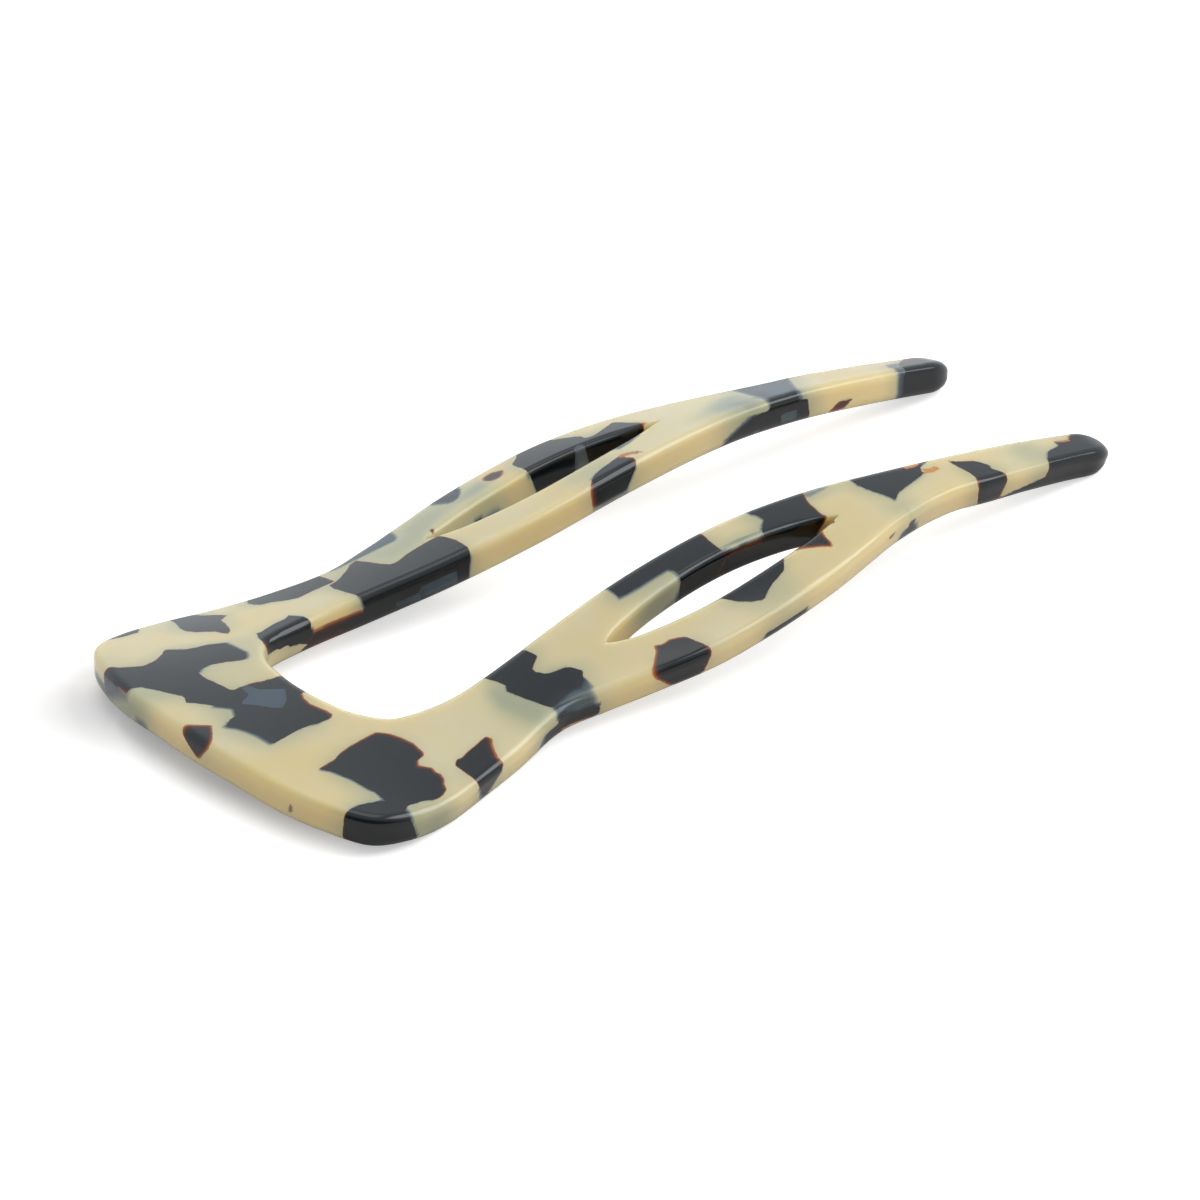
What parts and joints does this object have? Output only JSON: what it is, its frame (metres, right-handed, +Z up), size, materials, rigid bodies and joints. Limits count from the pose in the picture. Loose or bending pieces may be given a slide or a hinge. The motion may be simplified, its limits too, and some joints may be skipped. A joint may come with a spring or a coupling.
{
  "type": "french hair pin",
  "caption": "Bent tortoiseshell acetate hair pin with a broad head and two slotted prongs that hold a twist of hair.",
  "frame": {"origin": "middle of the pin's footprint, on the surface that it rests on", "axes": "+X from the head to the tips, +Y across the prongs, +Z up out of the surface, arch upwards"},
  "size_m": [0.1134, 0.047, 0.0098],
  "materials": {
    "acetate": "polished, pale ivory with dark chips"
  },
  "bodies": {
    "root": {"hairpin": "acetate"}
  },
  "joints": []
}
